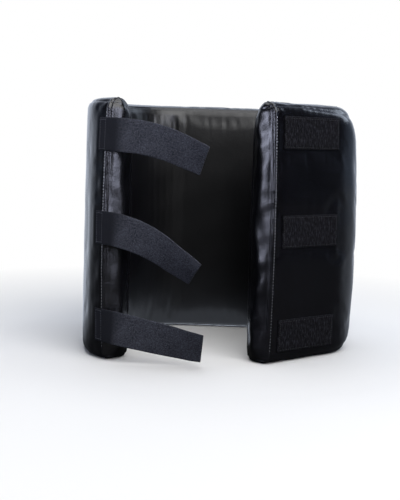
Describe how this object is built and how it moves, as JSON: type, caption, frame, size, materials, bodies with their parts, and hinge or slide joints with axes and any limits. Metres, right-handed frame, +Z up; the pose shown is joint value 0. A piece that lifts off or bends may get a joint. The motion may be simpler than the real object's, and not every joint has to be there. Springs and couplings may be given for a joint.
{
  "type": "wrap-around kick pad",
  "caption": "Tall padded vinyl slab bent into an open ring that stands on edge round a post, closed by hook-and-loop tape straps on one arm and loop patches on the other.",
  "frame": {"origin": "middle of the far section's width, on the standing plane, inside the wrap space", "axes": "+Z up along the wrapped post, +Y towards the far closed side, +X from the strap arm to the patch arm"},
  "size_m": [0.448, 0.3924, 0.4],
  "materials": {
    "vinyl": "gloss black coated vinyl with fine grain",
    "lining": "satin black coated vinyl",
    "firm_foam": "closed-cell foam",
    "soft_foam": "open-cell foam",
    "strap_tape": "matt woven tape",
    "hook_tape": "moulded hooks",
    "loop_tape": "brushed loop pile"
  },
  "bodies": {
    "front": {"strike_foam_front": "firm_foam", "backing_foam_front": "soft_foam", "outer_cover_front": "vinyl", "inner_cover_front": "lining", "top_gusset_front": "vinyl", "bottom_gusset_front": "vinyl", "left_fold_foam": "soft_foam", "left_fold_lining": "lining", "right_fold_foam": "soft_foam", "right_fold_lining": "lining"},
    "left_arm": {"strike_foam_left": "firm_foam", "backing_foam_left": "soft_foam", "outer_cover_left": "vinyl", "inner_cover_left": "lining", "top_gusset_left": "vinyl", "bottom_gusset_left": "vinyl", "left_end_gusset": "vinyl", "top_strap_anchor": "strap_tape", "middle_strap_anchor": "strap_tape", "bottom_strap_anchor": "strap_tape"},
    "right_arm": {"strike_foam_right": "firm_foam", "backing_foam_right": "soft_foam", "outer_cover_right": "vinyl", "inner_cover_right": "lining", "top_gusset_right": "vinyl", "bottom_gusset_right": "vinyl", "right_end_gusset": "vinyl", "top_loop_patch": "loop_tape", "middle_loop_patch": "loop_tape", "bottom_loop_patch": "loop_tape"},
    "top_strap": {"top_strap_tape": "strap_tape", "top_strap_hooks": "hook_tape"},
    "middle_strap": {"middle_strap_tape": "strap_tape", "middle_strap_hooks": "hook_tape"},
    "bottom_strap": {"bottom_strap_tape": "strap_tape", "bottom_strap_hooks": "hook_tape"}
  },
  "joints": [
    {"name": "left_fold", "type": "hinge", "parent": "front", "child": "left_arm", "pos_m": [-0.2245, 0.03, 0.2], "axis": [0, 0, 1], "range_deg": [-50, 18], "deforming": ["left_fold_foam", "left_fold_lining"]},
    {"name": "right_fold", "type": "hinge", "parent": "front", "child": "right_arm", "pos_m": [0.2245, 0.03, 0.2], "axis": [0, 0, 1], "range_deg": [-18, 50], "deforming": ["right_fold_foam", "right_fold_lining"]},
    {"name": "top_strap_crease", "type": "hinge", "parent": "left_arm", "child": "top_strap", "pos_m": [-0.16344, -0.1672, 0.344], "axis": [0, 0, 1], "range_deg": [-150, 8]},
    {"name": "middle_strap_crease", "type": "hinge", "parent": "left_arm", "child": "middle_strap", "pos_m": [-0.16522, -0.16898, 0.203], "axis": [0, 0, 1], "range_deg": [-150, 8]},
    {"name": "bottom_strap_crease", "type": "hinge", "parent": "left_arm", "child": "bottom_strap", "pos_m": [-0.16349, -0.16725, 0.054], "axis": [0, 0, 1], "range_deg": [-150, 8]}
  ]
}
